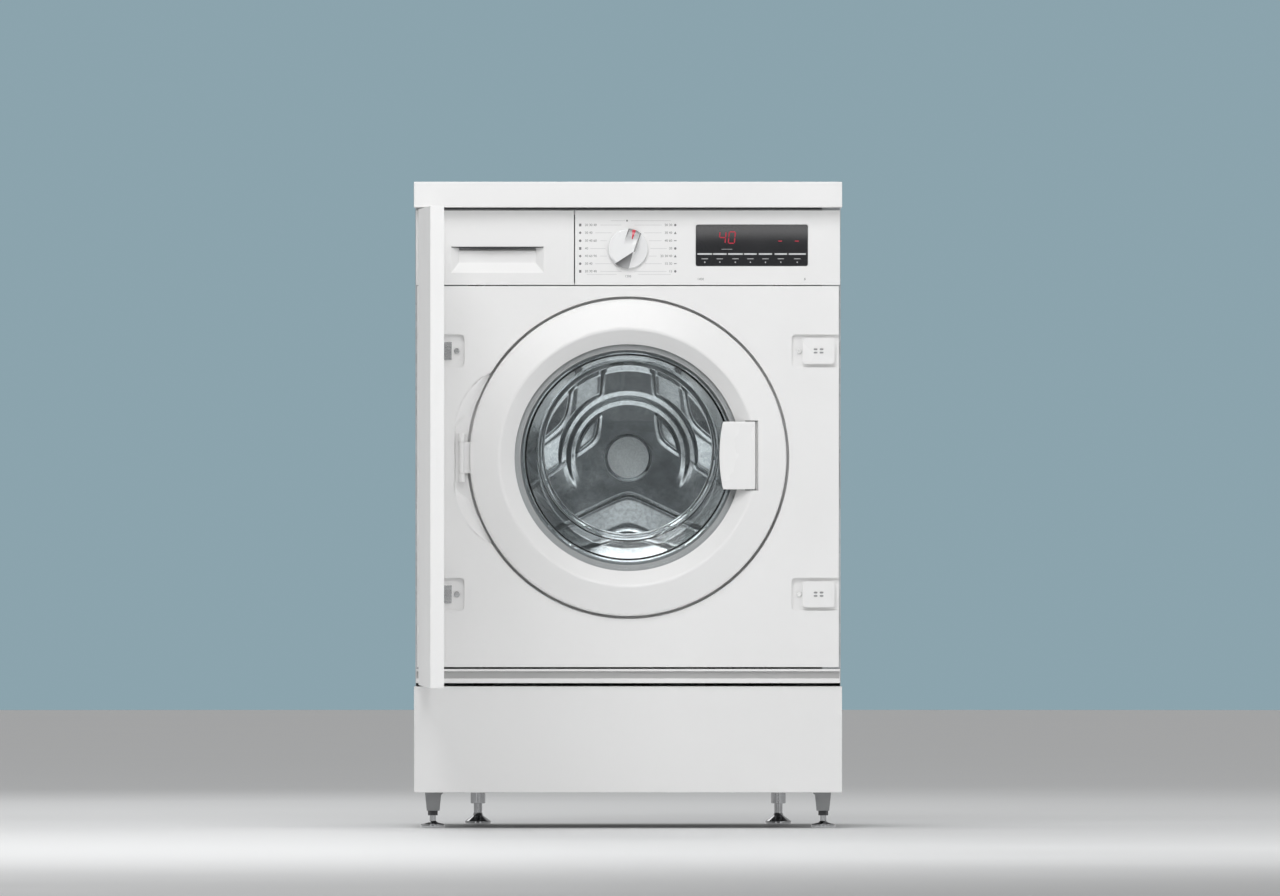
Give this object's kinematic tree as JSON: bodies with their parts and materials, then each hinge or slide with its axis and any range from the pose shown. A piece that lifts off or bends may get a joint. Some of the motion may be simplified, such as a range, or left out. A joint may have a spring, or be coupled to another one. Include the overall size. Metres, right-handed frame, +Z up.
{
  "type": "integrated washing machine",
  "caption": "Front-loading built-in washing machine with porthole door, detergent drawer, selector knob, worktop and plinth boards and a hinged furniture door standing open.",
  "frame": {"origin": "on the floor, centre of the width, in the plane of the front panel's outer face", "axes": "+Z up, the front faces -Y, +X to the right seen from the front"},
  "size_m": [0.6, 1.1982, 0.906],
  "materials": {
    "white_enamel": "satin white enamel on steel sheet",
    "white_moulding": "fine satin white moulding",
    "white_board": "white laminated board",
    "galvanised": "galvanised steel sheet",
    "stainless": "polished stainless sheet",
    "grey_casting": "die-cast alloy",
    "dark_metal": "dark finished steel",
    "bearing_steel": "ground steel",
    "grey_rubber": "grey rubber",
    "black_rubber": "black rubber",
    "black_plastic": "black moulding",
    "grey_plastic": "grey moulding",
    "tub_plastic": "filled polypropylene",
    "drawer_plastic": "pale moulding",
    "clear_glass": "pressed glass",
    "display_black": "gloss black window",
    "concrete": "cast concrete",
    "foot_steel": "plated steel"
  },
  "bodies": {
    "cabinet": {"base_frame": "galvanised", "left_side_wall": "galvanised", "right_side_wall": "galvanised", "rear_panel": "galvanised", "upper_crossbars": "galvanised", "front_panel": "white_enamel", "lower_front_rail": "white_enamel", "plinth_board": "white_board", "plinth_clips": "white_moulding", "top_board": "white_board", "control_fascia": "white_moulding", "display_window": "display_black", "control_module": "black_plastic", "dispenser_housing": "grey_plastic", "dispenser_hose": "black_rubber", "door_lock": "black_plastic", "porthole_hinge": "grey_casting", "door_gasket": "grey_rubber", "suspension_springs": "bearing_steel", "shock_absorbers": "dark_metal", "sump_hose": "black_rubber", "drain_pump": "grey_plastic", "drain_pipe": "grey_plastic", "water_inlet_valve": "drawer_plastic", "inlet_tube": "black_rubber", "cable_gland": "black_plastic", "furniture_hinge_arms": "dark_metal", "hinge_cover_caps": "white_moulding", "panel_screws": "foot_steel", "front_foot_brackets": "grey_plastic", "foot_lock_nuts": "black_plastic", "rear_foot_sleeves": "foot_steel"},
    "washing_unit": {"tub_front": "tub_plastic", "tub_rear": "tub_plastic", "drum_bearings": "bearing_steel", "counterweights": "concrete", "heating_element": "bearing_steel", "drive_motor": "dark_metal", "drive_belt": "black_rubber"},
    "drum": {"drum_shell": "stainless", "drum_back": "stainless", "drum_lifters": "grey_plastic", "drum_spider": "grey_casting", "drum_pulley": "grey_casting"},
    "motor_rotor": {"motor_pulley": "bearing_steel"},
    "porthole": {"door_outer_ring": "white_moulding", "door_inner_frame": "grey_plastic", "door_glass": "clear_glass", "door_hinge_arm": "grey_casting"},
    "handle": {"door_handle": "white_moulding"},
    "hook": {"latch_hook": "grey_casting"},
    "drawer": {"drawer_front": "white_moulding", "drawer_tray": "drawer_plastic"},
    "knob": {"programme_knob": "white_moulding"},
    "furniture_door": {"furniture_door_panel": "white_board", "hinge_cups": "foot_steel"},
    "left_front_leg": {"left_front_foot": "foot_steel"},
    "right_front_leg": {"right_front_foot": "foot_steel"},
    "left_rear_leg": {"left_rear_foot": "foot_steel"},
    "right_rear_leg": {"right_rear_foot": "foot_steel"}
  },
  "joints": [
    {"name": "tub_suspension", "type": "slide", "parent": "cabinet", "child": "washing_unit", "axis": [0, 0, 1], "range_m": [-0.006, 0.006], "stiffness_N_per_m": 20000, "springref_m": 0.02029, "deforming": ["suspension_springs", "shock_absorbers", "door_gasket", "dispenser_hose", "sump_hose"]},
    {"name": "drum_spin", "type": "hinge", "parent": "washing_unit", "child": "drum", "pos_m": [0, 0.465, 0.5195], "axis": [0, 1, 0], "continuous": true},
    {"name": "motor_spin", "type": "hinge", "parent": "washing_unit", "child": "motor_rotor", "pos_m": [0.07, 0.4, 0.185], "axis": [0, 1, 0], "continuous": true},
    {"name": "porthole_swing", "type": "hinge", "parent": "cabinet", "child": "porthole", "pos_m": [-0.233, -0.001, 0.5195], "axis": [0, 0, -1], "range_deg": [0, 88]},
    {"name": "handle_pull", "type": "hinge", "parent": "porthole", "child": "handle", "pos_m": [0.172, -0.004, 0.5225], "axis": [0, 0, 1], "range_deg": [0, 12], "stiffness_Nm_per_rad": 1.2, "springref_deg": -5.73},
    {"name": "hook_swing", "type": "hinge", "parent": "porthole", "child": "hook", "pos_m": [0.203, 0.007, 0.5195], "axis": [0, 0, 1], "range_deg": [0, 12]},
    {"name": "drawer_slide", "type": "slide", "parent": "cabinet", "child": "drawer", "axis": [0, -1, 0], "range_m": [0, 0.18]},
    {"name": "knob_turn", "type": "hinge", "parent": "cabinet", "child": "knob", "pos_m": [0, 0.01, 0.8126], "axis": [0, 1, 0], "continuous": true},
    {"name": "furniture_door_swing", "type": "hinge", "parent": "cabinet", "child": "furniture_door", "pos_m": [-0.277, -0.027, 0.669], "axis": [0, 0, -1], "range_deg": [-88, 4]},
    {"name": "left_front_foot_screw", "type": "slide", "parent": "cabinet", "child": "left_front_leg", "axis": [0, 0, -1], "range_m": [0, 0.012]},
    {"name": "right_front_foot_screw", "type": "slide", "parent": "cabinet", "child": "right_front_leg", "axis": [0, 0, -1], "range_m": [0, 0.012]},
    {"name": "left_rear_foot_screw", "type": "slide", "parent": "cabinet", "child": "left_rear_leg", "axis": [0, 0, -1], "range_m": [0, 0.012]},
    {"name": "right_rear_foot_screw", "type": "slide", "parent": "cabinet", "child": "right_rear_leg", "axis": [0, 0, -1], "range_m": [0, 0.012]}
  ],
  "couplings": [
    {"joint": "motor_spin", "follows": "drum_spin", "ratio": 14},
    {"joint": "hook_swing", "follows": "handle_pull", "ratio": 1}
  ]
}
